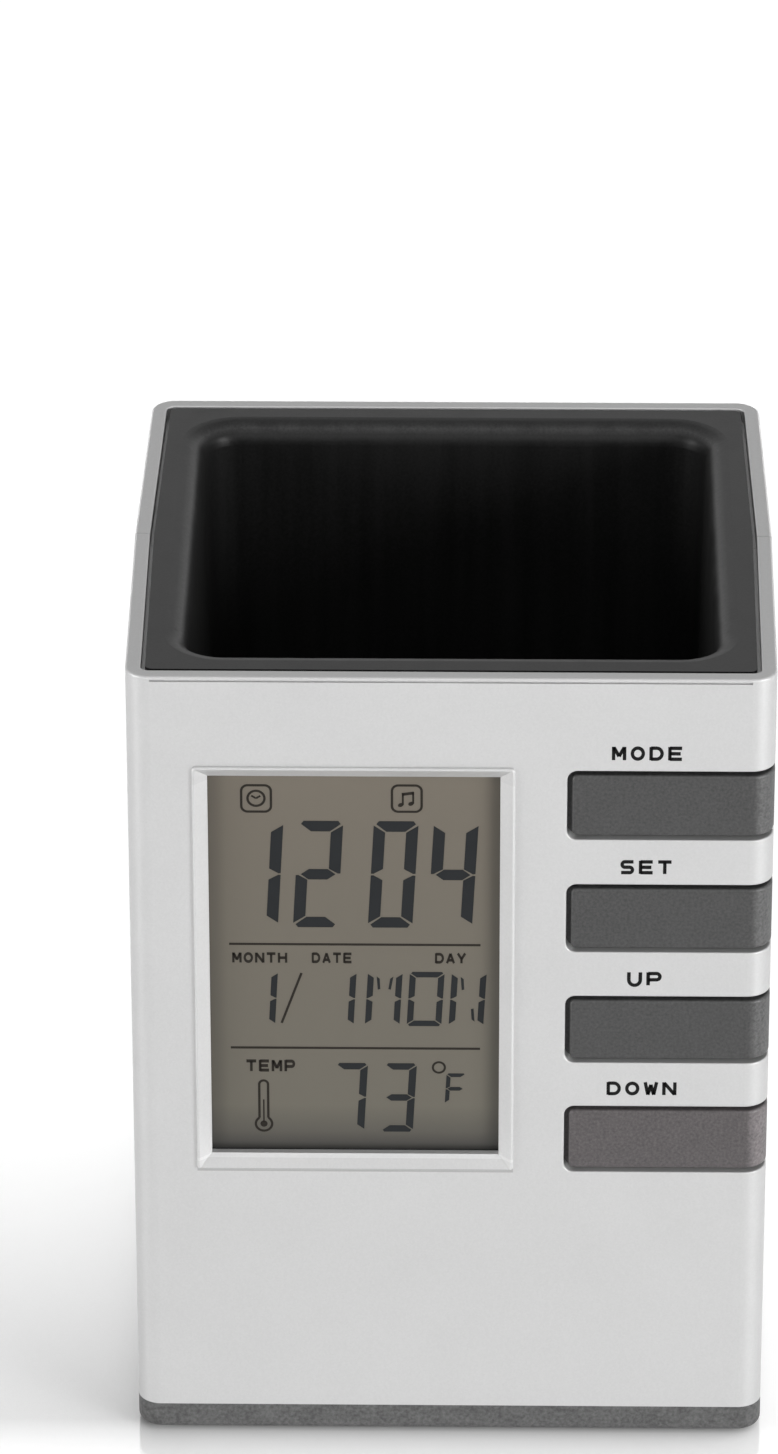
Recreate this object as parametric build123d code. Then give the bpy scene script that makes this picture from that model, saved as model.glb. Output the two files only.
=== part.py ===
from build123d import *
import os
from math import radians, tan

# Pen holder clock. Millimetres, +X right, +Y back, +Z up.
# The origin is on the surface it stands on, under the middle of the body.

# Body: two silver shells that meet at a seam halfway back
body_width = 77.0            # across the seam, its widest place
body_depth = 77.0
overall_height = 103.6       # feet to rim
front_draft = 0.4            # each side leans in by this much towards the front
rear_draft = 0.6             # and by this much towards the back
corner_radius = 2.9
inner_corner_radius = 0.9
wall = 1.8
rim_round = 0.3
rim_inner_round = 0.2
seam_gap = 0.12
lap_length = 1.5             # tongue of the front shell behind the rear shell's edge
lap_thickness = 0.9
lap_clearance = 0.1
trim_line_drop = 0.4         # fine line moulded below the front's top edge
trim_line_height = 0.25
trim_line_depth = 0.35

# Base plate and feet
foot_proud = 0.4
foot_radius = 4.5
foot_recess = 0.9
foot_edge = 0.25
foot_fit = 0.1
foot_inset = 8.5             # foot centre in from the body's sides
base_height = 3.5
base_floor = 2.0
base_edge_radius = 0.9
base_lip_height = 1.8        # upstand that centres the shells
base_lip_thickness = 1.2
base_lip_fit = 0.15

# Front panel: display frame on the left, key column on the right
panel_left_margin = 7.7
panel_top_margin = 11.7
panel_bottom = 37.2
panel_key_space = 6.1        # bare wall between the display frame and the keys
frame_proud = 0.4
frame_corner_radius = 0.6
frame_outer_round = 0.25
frame_crest = 0.3            # flat top of the raised frame
bezel_width = 1.75           # frame's outer edge to the visible glass
bezel_depth = 0.95           # from the front face down the bevel

# Keys
key_count = 4
key_web = 6.0                # bare wall between two key openings
key_top_drop = 0.45          # the top key's opening starts this far below the frame's top
key_bottom_drop = 0.1        # and the last one ends this far below the frame's bottom
key_opening_width = 24.4     # along the front, to the body's corner
key_opening_side = 10.0      # along the side, from the front face
key_opening_radius = 1.2
key_opening_round = 0.2      # eased outer edge of the openings
key_gap = 0.55
key_edge_round = 0.35
key_travel = 0.8
key_rest_gap = 0.05
key_flange_margin = 1.2
key_flange_thickness = 1.0
key_flange_side_gap = 1.6
key_core_depth = 0.8         # how far the flange's root goes into the cap
guide_rib_thickness = 1.2
guide_rib_depth = 1.8

# Display
glass_gap = 0.1
glass_thickness = 1.1
glass_margin = 2.2           # glass hidden behind the wall round the window
glass_ledge = 2.4            # contact ledge of the front glass, top and bottom
reflector_thickness = 0.15
reflector_margin = 1.0
zebra_width = 1.6
zebra_end_margin = 2.5
lcd_frame_wall = 1.2
lcd_frame_fit = 0.2
lcd_peg_radius = 0.5
lcd_peg_fit = 0.06
lcd_peg_end_margin = 5.0

# Circuit board
board_gap = 0.15
board_thickness = 1.0
board_side_gap = 2.0
board_top_gap = 1.4
board_tail = 9.0             # reaches this far below the cup's floor
board_post_inset = 2.9
post_radius = 2.0
board_hole_radius = 1.1
board_screw_radius = 0.8
board_screw_head_radius = 1.7
board_screw_head_height = 1.0
board_screw_depth = 2.2
screw_fit = 0.03
post_bottom_skin = 0.2
chip_radius = 5.0
chip_height = 1.3
chip_round = 1.0
crystal_radius = 1.0
crystal_length = 6.0
crystal_round = 0.3
thermistor_radius = 1.1
thermistor_leg_radius = 0.25
thermistor_leg_length = 3.0
thermistor_leg_space = 1.2
part_gap = 7.0               # between the parts in the board's tail

# Rubber keypad
keypad_mat_thickness = 0.5
keypad_margin = 4.0          # mat beyond the domes
dome_base_radius = 2.8
dome_top_radius = 2.0
dome_rest_gap = 0.05

# Pen cup
cup_gap = 0.5
flange_drop = 0.1
flange_thickness = 1.6
lip_radius = 2.7
cup_wall = 1.3
cup_floor = 1.5
cup_floor_round = 1.6
cup_corner_radius = 4.5
cup_draft = 1.2              # each wall leans in by this much over its height
board_cup_gap = 0.6
cup_bay_gap = 0.8
ledge_depth = 2.2
ledge_thickness = 1.2
lug_engagement = 1.2
lug_thickness = 1.2
lug_width = 8.0
lug_gap = 0.1
lug_share = 0.16             # place of the lugs along the depth, each side of the seam

# Base screws and their bosses
screw_wall_space = 6.0
turret_radius = 3.4
turret_height = 5.6
screw_head_radius = 2.2
screw_head_height = 1.6
screw_head_fit = 0.4
screw_seat = 2.6             # plastic left over the head
screw_radius = 1.1
screw_length = 10.0
screw_clear = 0.2
boss_radius = 2.8
boss_height = 11.0
boss_rib_thickness = 1.4

# Batteries and their bay
cell_radius = 5.25
cell_length = 44.5
cell_nub_radius = 1.9
cell_nub_length = 0.9
cell_edge = 0.4
cell_fit = 0.2               # cell to bay, below, above and in front
cell_space = 0.6             # between the two cells
cell_door_gap = 0.3
bay_wall = 1.2
bay_lip_gap = 0.2
contact_thickness = 0.4
contact_width = 8.0
contact_height = 9.0
contact_button = 0.4
contact_button_radius = 2.0
contact_touch_gap = 0.05
leaf_width = 5.0
leaf_space = 3.7             # room for the spring leaf at a cell's flat end
tab_height = 2.4
tab_length = 1.9
tab_fit = 0.1
tab_boss_gap = 0.1

# Battery door
door_gap = 0.3
door_seat = 0.9              # door's overlap on the bay's walls
door_seat_gap = 0.1
barrel_radius = 1.5
hinge_pin_radius = 0.6
hinge_pin_fit = 0.06
hinge_pin_length = 1.7
hinge_pin_end_gap = 0.2
hinge_block_wall = 1.1
tongue_width = 12.0
tongue_length = 7.0
tongue_slit = 0.7
grip_count = 3
grip_height = 0.8
grip_pitch = 1.7
grip_proud = 0.4
grip_round = 0.3
scoop_radius = 7.0
scoop_depth = 1.1

# Buzzer and leads
buzzer_radius = 9.0
buzzer_plate_thickness = 0.3
buzzer_ceramic_radius = 6.5
buzzer_ceramic_thickness = 0.25
buzzer_fit = 0.25
buzzer_ring_thickness = 1.0
buzzer_ring_height = 1.5
buzzer_step_height = 0.6
buzzer_step_width = 1.0
buzzer_front_share = 0.17
sound_hole_radius = 0.8
sound_hole_circle = 4.2
sound_hole_count = 6
lead_radius = 0.5
lead_arc_share = 0.45
lead_space = 3.2
lead_post_space = 5.0        # from the board's right post to the battery leads

overrun = 3.0                # how far a cut runs past the surface it opens
tie = 0.3                    # how far a rib or boss reaches into what carries it
near = 0.02                  # how close an edge must lie to be picked

# Places that follow from the sizes above

half_depth = body_depth / 2
front_y = -half_depth
rear_y = half_depth
wall_back_y = front_y + wall
front_half_width = body_width / 2 - front_draft
rear_half_width = body_width / 2 - rear_draft
base_top = foot_proud + base_height
base_inner_floor = foot_proud + base_floor

# From the glass back to the pen cup
glass_front_y = wall_back_y + glass_gap
glass_mid_y = glass_front_y + glass_thickness
glass_back_y = glass_mid_y + glass_thickness
reflector_back_y = glass_back_y + reflector_thickness
board_front_y = reflector_back_y + board_gap
board_back_y = board_front_y + board_thickness
cup_inset = board_back_y + board_cup_gap + cup_wall - front_y

# Display frame and window on the front face
frame_left = -front_half_width + panel_left_margin
frame_right = front_half_width - key_opening_width - panel_key_space
frame_bottom = panel_bottom
frame_top = overall_height - panel_top_margin
window_left = frame_left + bezel_width
window_right = frame_right - bezel_width
window_bottom = frame_bottom + bezel_width
window_top = frame_top - bezel_width
glass_left = window_left - glass_margin
glass_right = window_right + glass_margin
glass_bottom = window_bottom - glass_margin
glass_top = window_top + glass_margin

# Keys, from the top one down
key_column_top = frame_top - key_top_drop
key_column_height = key_column_top - frame_bottom + key_bottom_drop
key_opening_height = (key_column_height - (key_count - 1) * key_web) / key_count
key_pitch = key_opening_height + key_web
key_opening_left = front_half_width - key_opening_width
key_opening_rear = front_y + key_opening_side
key_names = ["mode", "set", "up", "down"]
key_middles = [key_column_top - key_opening_height / 2 - index * key_pitch for index in range(key_count)]
flange_front_y = wall_back_y + key_rest_gap
flange_back_y = flange_front_y + key_flange_thickness
flange_left = key_opening_left - key_flange_margin
flange_right = front_half_width - wall - key_flange_side_gap
dome_x = (flange_left + flange_right) / 2

# Battery bay, from the base up
bay_floor_z = base_top + base_lip_height + bay_lip_gap + bay_wall
lower_cell_z = bay_floor_z + cell_fit + cell_radius
upper_cell_z = lower_cell_z + 2 * cell_radius + cell_space
bay_ceiling_z = upper_cell_z + cell_radius + cell_fit
door_back_y = rear_y - wall
cell_y = door_back_y - cell_door_gap - cell_radius
bay_front_y = cell_y - cell_radius - cell_fit
plus_end = contact_thickness + contact_button + contact_touch_gap
bay_half_width = (cell_length + plus_end + leaf_space) / 2
cell_shift = bay_half_width - plus_end - cell_length / 2
opening_half_width = bay_half_width + door_seat
opening_top_z = bay_ceiling_z + door_seat
hinge_y = rear_y - barrel_radius
hinge_z = bay_floor_z + door_gap + barrel_radius
door_half_width = opening_half_width - door_gap
door_top_z = opening_top_z - door_gap

# Cup, its ledge and the board's height
cup_top_z = overall_height - flange_drop
ledge_top_z = cup_top_z - flange_thickness
ledge_bottom_z = ledge_top_z - ledge_thickness
cup_underside_z = bay_ceiling_z + bay_wall + cup_bay_gap
cup_floor_z = cup_underside_z + cup_floor
cup_half_width = body_width / 2 - cup_inset
cup_half_depth = body_depth / 2 - cup_inset
board_bottom_z = cup_underside_z - board_tail
board_top_z = ledge_bottom_z - board_top_gap
board_half_width = front_half_width - wall - board_side_gap
post_x = board_half_width - board_post_inset
post_places = [(side * post_x, z)
               for z in (board_bottom_z + board_post_inset, board_top_z - board_post_inset)
               for side in (-1, 1)]
tail_middle_z = board_bottom_z + board_tail / 2

# Screws through the base, and feet
screw_x = body_width / 2 - wall - screw_wall_space
screw_y = bay_front_y - bay_wall - tab_length - tab_boss_gap - boss_radius
screw_places = [(x, y) for y in (-screw_y, screw_y) for x in (-screw_x, screw_x)]
turret_top_z = base_inner_floor + turret_height
screw_seat_z = turret_top_z - screw_seat
foot_x = body_width / 2 - foot_inset
foot_y = body_depth / 2 - foot_inset
foot_places = {
    "front_left_foot": (-foot_x, -foot_y),
    "front_right_foot": (foot_x, -foot_y),
    "rear_left_foot": (-foot_x, foot_y),
    "rear_right_foot": (foot_x, foot_y),
}
buzzer_y = -buzzer_front_share * body_depth


# Shapes that several pieces use

def block(x_range, y_range, z_range):
    low = [min(pair) for pair in (x_range, y_range, z_range)]
    high = [max(pair) for pair in (x_range, y_range, z_range)]
    middle = [(a + b) / 2 for a, b in zip(low, high)]
    return Pos(*middle) * Box(*[b - a for a, b in zip(low, high)])


def front_slab(x_range, z_range, y_range, radius):
    # rounded rectangle seen from the front, as thick as y_range
    width = x_range[1] - x_range[0]
    height = z_range[1] - z_range[0]
    plane = Plane(origin=(sum(x_range) / 2, y_range[1], sum(z_range) / 2), x_dir=(1, 0, 0), z_dir=(0, -1, 0))
    return extrude(plane * RectangleRounded(width, height, radius), amount=y_range[1] - y_range[0])


def side_slab(y_range, z_range, x_range, radius):
    # rounded rectangle seen from the side, as thick as x_range
    depth = y_range[1] - y_range[0]
    height = z_range[1] - z_range[0]
    plane = Plane(origin=(x_range[0], sum(y_range) / 2, sum(z_range) / 2), x_dir=(0, 1, 0), z_dir=(1, 0, 0))
    return extrude(plane * RectangleRounded(depth, height, radius), amount=x_range[1] - x_range[0])


def rod(start, direction, radius, length):
    return extrude(Plane(origin=start, z_dir=direction) * Circle(radius), amount=length)


def side_x(y):
    # half the body's outside width at a place along its depth
    draft = front_draft if y < 0 else rear_draft
    return body_width / 2 - draft * abs(y) / half_depth


def case_plan(inset):
    # the body's outline from above: six corners, the two at the seam almost flat
    depth = half_depth - inset
    middle = body_width / 2 - inset
    front = front_half_width - inset
    rear = rear_half_width - inset
    corners = [(-middle, 0), (-front, -depth), (front, -depth), (middle, 0), (rear, depth), (-rear, depth)]
    face = make_face(Polyline(*corners, close=True))
    turned = [v for v in face.vertices() if abs(v.Y) > depth / 2]
    return fillet(turned, max(corner_radius - inset, inner_corner_radius))


def case_block(inset, bottom, top):
    return Pos(0, 0, bottom) * extrude(case_plan(inset), amount=top - bottom, dir=(0, 0, 1))


def front_half(top, back=-seam_gap / 2):
    reach = body_width + overrun
    return block((-reach, reach), (front_y - overrun, back), (-overrun, top))


def rear_half(top, front=seam_gap / 2):
    reach = body_width + overrun
    return block((-reach, reach), (front, rear_y + overrun), (-overrun, top))


def screw(radius, length, head_radius, head_height):
    # pan-head screw on the Z axis, seated at zero with its head below
    head = Pos(0, 0, -head_height / 2) * Cylinder(head_radius, head_height)
    head = fillet(head.edges().sort_by(Axis.Z)[0], head_height / 2)
    shank = rod((0, 0, -head_height / 2), (0, 0, 1), radius, length + head_height / 2)
    return head + chamfer(shank.edges().sort_by(Axis.Z)[-1], radius / 2)


# The two shells

def body_ring():
    # the walls of both shells in one piece, open above and below
    top = overall_height
    outer = case_block(0, base_top, top)
    outer = fillet(outer.faces().sort_by(Axis.Z)[-1].edges(), rim_round)
    inner = case_block(wall, base_top - overrun, top + overrun)
    ring = outer - inner
    top_face = ring.faces().sort_by(Axis.Z)[-1]
    inner_edges = [e for e in top_face.edges() if skin_depth(e.position_at(0.5)) > wall / 2]
    return fillet(inner_edges, rim_inner_round)


def skin_depth(point):
    # how far a point lies inside the body's outline, seen from above
    x_in = side_x(point.Y) - abs(point.X)
    y_in = half_depth - abs(point.Y)
    if x_in < corner_radius and y_in < corner_radius:
        away = ((corner_radius - x_in) ** 2 + (corner_radius - y_in) ** 2) ** 0.5
        return corner_radius - away
    return min(x_in, y_in)


def cup_ledge():
    # rib round the inside of both shells that carries the cup's flange
    outer = case_block(wall - tie, ledge_bottom_z, ledge_top_z)
    return outer - case_block(wall + ledge_depth, ledge_bottom_z - overrun, ledge_top_z + overrun)


def screw_boss(x, y):
    # post for a base screw, tied to the side wall by a rib, and its pilot hole
    bottom = turret_top_z
    boss = rod((x, y, bottom), (0, 0, 1), boss_radius, boss_height)
    side = 1 if x > 0 else -1
    rib = block((x, side * (side_x(y) - wall + tie)),
                (y - boss_rib_thickness / 2, y + boss_rib_thickness / 2),
                (bottom, bottom + boss_height))
    pilot = rod((x, y, bottom - overrun), (0, 0, 1), screw_radius + screw_fit,
                overrun + screw_length - screw_seat + screw_radius)
    return boss + rib, pilot


def lap(thickness, length, bottom, top):
    # tongue down both seams, on the inner side of the wall
    strip = case_block(wall - thickness, bottom, top) - case_block(wall, bottom - overrun, top + overrun)
    return strip & block((-body_width, body_width), (-lap_length, length), (bottom, top))


def key_prism(middle_z, gap, travel_room, inner):
    # what one key fills of the front and side walls, seen from the front and from the side
    radius = key_opening_radius - gap
    z_range = (middle_z - key_opening_height / 2 + gap, middle_z + key_opening_height / 2 - gap)
    outside = body_width / 2 + overrun
    front = front_slab((key_opening_left + gap, outside), z_range,
                       (front_y - overrun, wall_back_y + inner), radius)
    side = side_slab((front_y - overrun, key_opening_rear - gap - travel_room), z_range,
                     (front_half_width - wall - inner, outside), radius)
    return front + side


def front_shell():
    shell = body_ring() & front_half(overall_height + overrun)
    shell += cup_ledge() & front_half(overall_height)
    shell += lap(lap_thickness, lap_length, base_top, ledge_bottom_z - lap_clearance)

    # raised frame round the display, with a bevel down to the glass
    frame = front_slab((frame_left, frame_right), (frame_bottom, frame_top),
                       (front_y - frame_proud, front_y + tie), frame_corner_radius)
    frame = fillet(frame.faces().sort_by(Axis.Y)[0].edges(), frame_outer_round)
    shell += frame
    shell -= window_bevel()
    shell -= block((window_left, window_right), (front_y - overrun, wall_back_y + overrun),
                   (window_bottom, window_top))

    # fine line below the top edge, on the flat of the front
    line_top = overall_height - trim_line_drop
    shell -= block((-front_half_width + corner_radius, front_half_width - corner_radius),
                   (front_y - overrun, front_y + trim_line_depth), (line_top - trim_line_height, line_top))

    for middle_z in key_middles:
        shell -= key_prism(middle_z, 0, 0, overrun)
    shell = fillet(key_opening_edges(shell), key_opening_round)
    for rib_z in guide_rib_places():
        shell += block((key_opening_left, flange_right), (wall_back_y - tie, wall_back_y + guide_rib_depth),
                       (rib_z - guide_rib_thickness / 2, rib_z + guide_rib_thickness / 2))
    for x, z in post_places:
        shell += rod((x, wall_back_y - tie, z), (0, 1, 0), post_radius, board_front_y - wall_back_y + tie)
        shell -= rod((x, wall_back_y + post_bottom_skin, z), (0, 1, 0),
                     board_screw_radius + screw_fit, overrun)
    for x, y in screw_places:
        if y < 0:
            boss, pilot = screw_boss(x, y)
            shell += boss
            shell -= pilot
    return shell


def key_opening_edges(shell):
    # the outline of every key opening on the outer skin
    half = key_opening_height / 2
    found = []
    for edge in shell.edges():
        point = edge.position_at(0.5)
        beside_keys = point.X > key_opening_left - near and point.Y < key_opening_rear + near
        away = min(abs(point.Z - middle_z) for middle_z in key_middles)
        if beside_keys and away < half + near and abs(skin_depth(point)) < near:
            found.append(edge)
    return found


def window_bevel():
    # four sloping faces with mitred corners, from the frame's crest down to the glass
    middle_x = (frame_left + frame_right) / 2
    middle_z = (frame_bottom + frame_top) / 2
    sections = []
    for y, inset in ((front_y + bezel_depth, bezel_width), (front_y - frame_proud, frame_crest)):
        plane = Plane(origin=(middle_x, y, middle_z), x_dir=(1, 0, 0), z_dir=(0, -1, 0))
        sections.append(plane * Rectangle(frame_right - frame_left - 2 * inset,
                                          frame_top - frame_bottom - 2 * inset))
    return loft(sections, ruled=True)


def guide_rib_places():
    # above the top key, between the keys and below the last one
    first = key_middles[0] + key_pitch / 2
    return [first - index * key_pitch for index in range(key_count + 1)]


def rear_shell():
    shell = body_ring() & rear_half(overall_height + overrun)
    shell += cup_ledge() & rear_half(overall_height)
    shell -= block((-body_width, body_width), (-overrun, lap_length + lap_clearance),
                   (base_top - overrun, ledge_bottom_z)) & case_block(
                       wall - lap_thickness - lap_clearance, base_top - overrun, ledge_bottom_z)
    for x, y in screw_places:
        if y > 0:
            boss, pilot = screw_boss(x, y)
            shell += boss
            shell -= pilot

    # battery bay, open to the back
    shell += block((-bay_half_width - bay_wall, bay_half_width + bay_wall),
                   (bay_front_y - bay_wall, door_back_y + tie),
                   (bay_floor_z - bay_wall, bay_ceiling_z + bay_wall))
    shell += hinge_blocks()
    shell -= block((-bay_half_width, bay_half_width), (bay_front_y, rear_y + overrun),
                   (bay_floor_z, bay_ceiling_z))
    shell -= block((-opening_half_width, opening_half_width), (door_back_y - door_seat_gap, rear_y + overrun),
                   (bay_floor_z, opening_top_z))
    shell -= rod((-opening_half_width, hinge_y, hinge_z), (1, 0, 0), barrel_radius + door_gap,
                 2 * opening_half_width)
    hole = hinge_pin_length - door_gap + hinge_pin_end_gap
    shell -= rod((-opening_half_width - hole, hinge_y, hinge_z), (1, 0, 0), hinge_pin_radius + hinge_pin_fit,
                 2 * (opening_half_width + hole))

    # slots for the solder tabs, and the scoop for a finger above the door
    for z in (lower_cell_z, upper_cell_z):
        shell -= block((bay_half_width - contact_thickness - tab_fit, bay_half_width),
                       (bay_front_y - bay_wall - overrun, bay_front_y + tie),
                       (z - tab_height / 2 - tab_fit, z + tab_height / 2 + tab_fit))
    return shell - finger_scoop()


def hinge_blocks():
    # thick places beside the opening, where the door's pins turn
    reach = barrel_radius + door_gap
    outer = opening_half_width + hinge_pin_length + hinge_pin_end_gap + hinge_block_wall
    z_range = (bay_floor_z - bay_wall, hinge_z + reach)
    blocks = block((opening_half_width - tie, outer), (hinge_y - reach, rear_y - wall + tie), z_range)
    return blocks + mirror(blocks, about=Plane.YZ)


def finger_scoop():
    # ball-shaped hollow centred on the door's top edge, so a nail can reach the tongue
    centre_y = rear_y - scoop_depth + scoop_radius
    return Pos(0, centre_y, opening_top_z) * Sphere(scoop_radius)


# Base plate, feet and screws

def base_plate():
    plate = case_block(0, foot_proud, base_top)
    plate = fillet(plate.faces().sort_by(Axis.Z)[0].edges(), base_edge_radius)
    lip = case_block(wall + base_lip_fit, base_inner_floor, base_top + base_lip_height)
    plate += lip
    plate -= case_block(wall + base_lip_fit + base_lip_thickness, base_inner_floor, base_top + overrun)
    for x, y in screw_places:
        plate += rod((x, y, base_inner_floor - tie), (0, 0, 1), turret_radius, turret_height + tie)
        plate -= rod((x, y, foot_proud - overrun), (0, 0, 1), screw_head_radius + screw_head_fit,
                     screw_seat_z - foot_proud + overrun)
        plate -= rod((x, y, foot_proud), (0, 0, 1), screw_radius + screw_clear, turret_top_z)
    for x, y in foot_places.values():
        plate -= rod((x, y, foot_proud - overrun), (0, 0, 1), foot_radius + foot_fit, overrun + foot_recess)

    # ring and step for the buzzer, with sound holes under it
    seat = base_inner_floor - tie
    ring_radius = buzzer_radius + buzzer_fit
    plate += rod((0, buzzer_y, seat), (0, 0, 1), ring_radius + buzzer_ring_thickness,
                 buzzer_ring_height + tie)
    plate -= rod((0, buzzer_y, base_inner_floor + buzzer_step_height), (0, 0, 1), ring_radius, overrun)
    plate -= rod((0, buzzer_y, base_inner_floor), (0, 0, 1), buzzer_radius - buzzer_step_width, overrun)
    holes = PolarLocations(sound_hole_circle, sound_hole_count).locations + [Location((0, 0, 0))]
    for hole in holes:
        start = Vector(0, buzzer_y, foot_proud - overrun) + hole.position
        plate -= rod(start, (0, 0, 1), sound_hole_radius, base_floor + 2 * overrun)
    return plate


def foot(x, y):
    pad = rod((x, y, 0), (0, 0, 1), foot_radius, foot_proud + foot_recess)
    return fillet(pad.edges().sort_by(Axis.Z)[0], foot_edge)


def base_screws():
    one = screw(screw_radius, screw_length, screw_head_radius, screw_head_height)
    return [Pos(x, y, screw_seat_z) * one for x, y in screw_places]


# Pen cup

def cup_section(grow, z, lean):
    # the cup's outline at a height: grow is outwards from the inner face, lean is inwards
    width = 2 * (cup_half_width + grow - lean)
    depth = 2 * (cup_half_depth + grow - lean)
    return Pos(0, 0, z) * RectangleRounded(width, depth, cup_corner_radius + grow)


def pen_cup():
    # the draft runs the whole height, so it is less at the floor's top than at its underside
    lean_at_floor = cup_draft * (cup_top_z - cup_floor_z) / (cup_top_z - cup_underside_z)
    outer = loft([cup_section(cup_wall, cup_underside_z, cup_draft),
                  cup_section(cup_wall, cup_top_z, 0)], ruled=True)
    flange = case_block(wall + cup_gap, ledge_top_z, cup_top_z)
    inner = loft([cup_section(0, cup_floor_z, lean_at_floor), cup_section(0, cup_top_z, 0)], ruled=True)
    inner = fillet(inner.faces().sort_by(Axis.Z)[0].edges(), cup_floor_round)
    cup = outer + flange
    under = [e for e in cup.edges() if abs(e.position_at(0.5).Z - ledge_top_z) < near
             and skin_depth(e.position_at(0.5)) > cup_inset - cup_wall - lip_radius / 2]
    cup = fillet(under, lip_radius - cup_wall)
    cup -= inner
    lip = [e for e in cup.edges() if abs(e.position_at(0.5).Z - cup_top_z) < near
           and skin_depth(e.position_at(0.5)) > cup_inset - lip_radius / 2]
    cup = fillet(lip, lip_radius)

    # lugs that the ledge keeps from lifting
    lug_top = ledge_bottom_z - lug_gap
    reach = body_width / 2 - wall - ledge_depth + lug_engagement
    for side in (-1, 1):
        for place in (-lug_share, lug_share):
            y = place * body_depth
            cup += block((side * (cup_half_width + tie), side * reach),
                         (y - lug_width / 2, y + lug_width / 2), (lug_top - lug_thickness, lug_top))
    return cup


# Display

def glass_slab(z_margin, front, back):
    return block((glass_left, glass_right), (front, back), (glass_bottom + z_margin, glass_top - z_margin))


def lcd_front_glass():
    return glass_slab(0, glass_front_y, glass_mid_y)


def lcd_rear_glass():
    return glass_slab(glass_ledge, glass_mid_y, glass_back_y)


def lcd_reflector():
    return block((glass_left + reflector_margin, glass_right - reflector_margin),
                 (glass_back_y, reflector_back_y),
                 (glass_bottom + glass_ledge + reflector_margin, glass_top - glass_ledge - reflector_margin))


def zebra_connectors():
    # rubber strips from the front glass's contact ledges to the board
    x_range = (glass_left + zebra_end_margin, glass_right - zebra_end_margin)
    spare = (glass_ledge - zebra_width) / 2
    low = glass_bottom + spare
    high = glass_top - spare
    return [block(x_range, (glass_mid_y, board_front_y), (low, low + zebra_width)),
            block(x_range, (glass_mid_y, board_front_y), (high - zebra_width, high))]


def lcd_peg_places():
    out = lcd_frame_fit + lcd_frame_wall / 2
    x_places = (glass_left - out, glass_right + out)
    z_places = (glass_bottom + lcd_peg_end_margin, glass_top - lcd_peg_end_margin)
    return [(x, z) for x in x_places for z in z_places]


def lcd_frame():
    # open frame that holds the glass square on the board, with pegs into it
    grow = lcd_frame_fit + lcd_frame_wall
    y_range = (glass_front_y + lcd_frame_fit, board_front_y)
    frame = front_slab((glass_left - grow, glass_right + grow), (glass_bottom - grow, glass_top + grow),
                       y_range, lcd_frame_wall)
    frame -= block((glass_left - lcd_frame_fit, glass_right + lcd_frame_fit),
                   (y_range[0] - overrun, y_range[1] + overrun),
                   (glass_bottom - lcd_frame_fit, glass_top + lcd_frame_fit))
    for x, z in lcd_peg_places():
        frame += rod((x, board_front_y - tie, z), (0, 1, 0), lcd_peg_radius, board_thickness + tie)
    return frame


# Circuit board and what it carries

def circuit_board():
    board = block((-board_half_width, board_half_width), (board_front_y, board_back_y),
                  (board_bottom_z, board_top_z))
    through = board_thickness + 2 * overrun
    for x, z in post_places:
        board -= rod((x, board_front_y - overrun, z), (0, 1, 0), board_hole_radius, through)
    for x, z in lcd_peg_places():
        board -= rod((x, board_front_y - overrun, z), (0, 1, 0), lcd_peg_radius + lcd_peg_fit, through)
    return board


def board_screws():
    one = screw(board_screw_radius, board_thickness + board_screw_depth, board_screw_head_radius,
                board_screw_head_height)
    return [Pos(x, board_back_y, z) * Rot(90, 0, 0) * one for x, z in post_places]


def clock_chip():
    blob = rod((0, board_back_y, tail_middle_z), (0, 1, 0), min(chip_radius, board_tail / 2), chip_height)
    return fillet(blob.edges().sort_by(Axis.Y)[-1], chip_round)


def quartz_crystal():
    # metal can lying on the board
    can = rod((-part_gap - crystal_length, board_back_y + crystal_radius, tail_middle_z), (1, 0, 0),
              crystal_radius, crystal_length)
    return fillet(can.edges(), crystal_round)


def thermistor():
    # bead that stands off the board on two legs, so the board doesn't warm it
    x = part_gap + crystal_length
    bead = Pos(x, board_back_y + thermistor_leg_length, tail_middle_z) * Sphere(thermistor_radius)
    for side in (-1, 1):
        bead += rod((x + side * thermistor_leg_space / 2, board_back_y, tail_middle_z), (0, 1, 0),
                    thermistor_leg_radius, thermistor_leg_length)
    return bead


# Keys and their rubber mat

def button(middle_z):
    ring = case_block(0, base_top, overall_height) - case_block(wall, 0, overall_height + overrun)
    cap = ring & key_prism(middle_z, key_gap, key_travel, 0)
    rim_edges = [e for e in cap.edges() if skin_depth(e.position_at(0.5)) < near
                 and not (abs(e.position_at(0.5).Z - middle_z) < near
                          and e.position_at(0.5).X > key_opening_left + key_opening_width / 2
                          and e.position_at(0.5).Y < key_opening_rear - key_opening_side / 2)]
    cap = fillet(rim_edges, key_edge_round)
    half = key_opening_height / 2
    root = block((key_opening_left + key_opening_radius, flange_right),
                 (wall_back_y - key_core_depth, flange_back_y),
                 (middle_z - half + key_opening_radius, middle_z + half - key_opening_radius))
    flange = front_slab((flange_left, flange_right),
                        (middle_z - half - key_flange_margin, middle_z + half + key_flange_margin),
                        (flange_front_y, flange_back_y), key_opening_radius)
    return cap + root + flange


def rubber_keypad():
    x_range = (dome_x - dome_base_radius - keypad_margin, dome_x + dome_base_radius + keypad_margin)
    z_range = (key_middles[-1] - dome_base_radius - key_flange_margin,
               key_middles[0] + dome_base_radius + key_flange_margin)
    mat_front_y = board_front_y - keypad_mat_thickness
    pad = front_slab(x_range, z_range, (mat_front_y, board_front_y), keypad_mat_thickness)
    height = mat_front_y - flange_back_y - dome_rest_gap
    for middle_z in key_middles:
        base = Plane(origin=(dome_x, mat_front_y, middle_z), z_dir=(0, -1, 0))
        top = Plane(origin=(dome_x, mat_front_y - height, middle_z), z_dir=(0, -1, 0))
        pad += loft([base * Circle(dome_base_radius), top * Circle(dome_top_radius)], ruled=True)
    return pad


# Batteries, contacts and door

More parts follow.
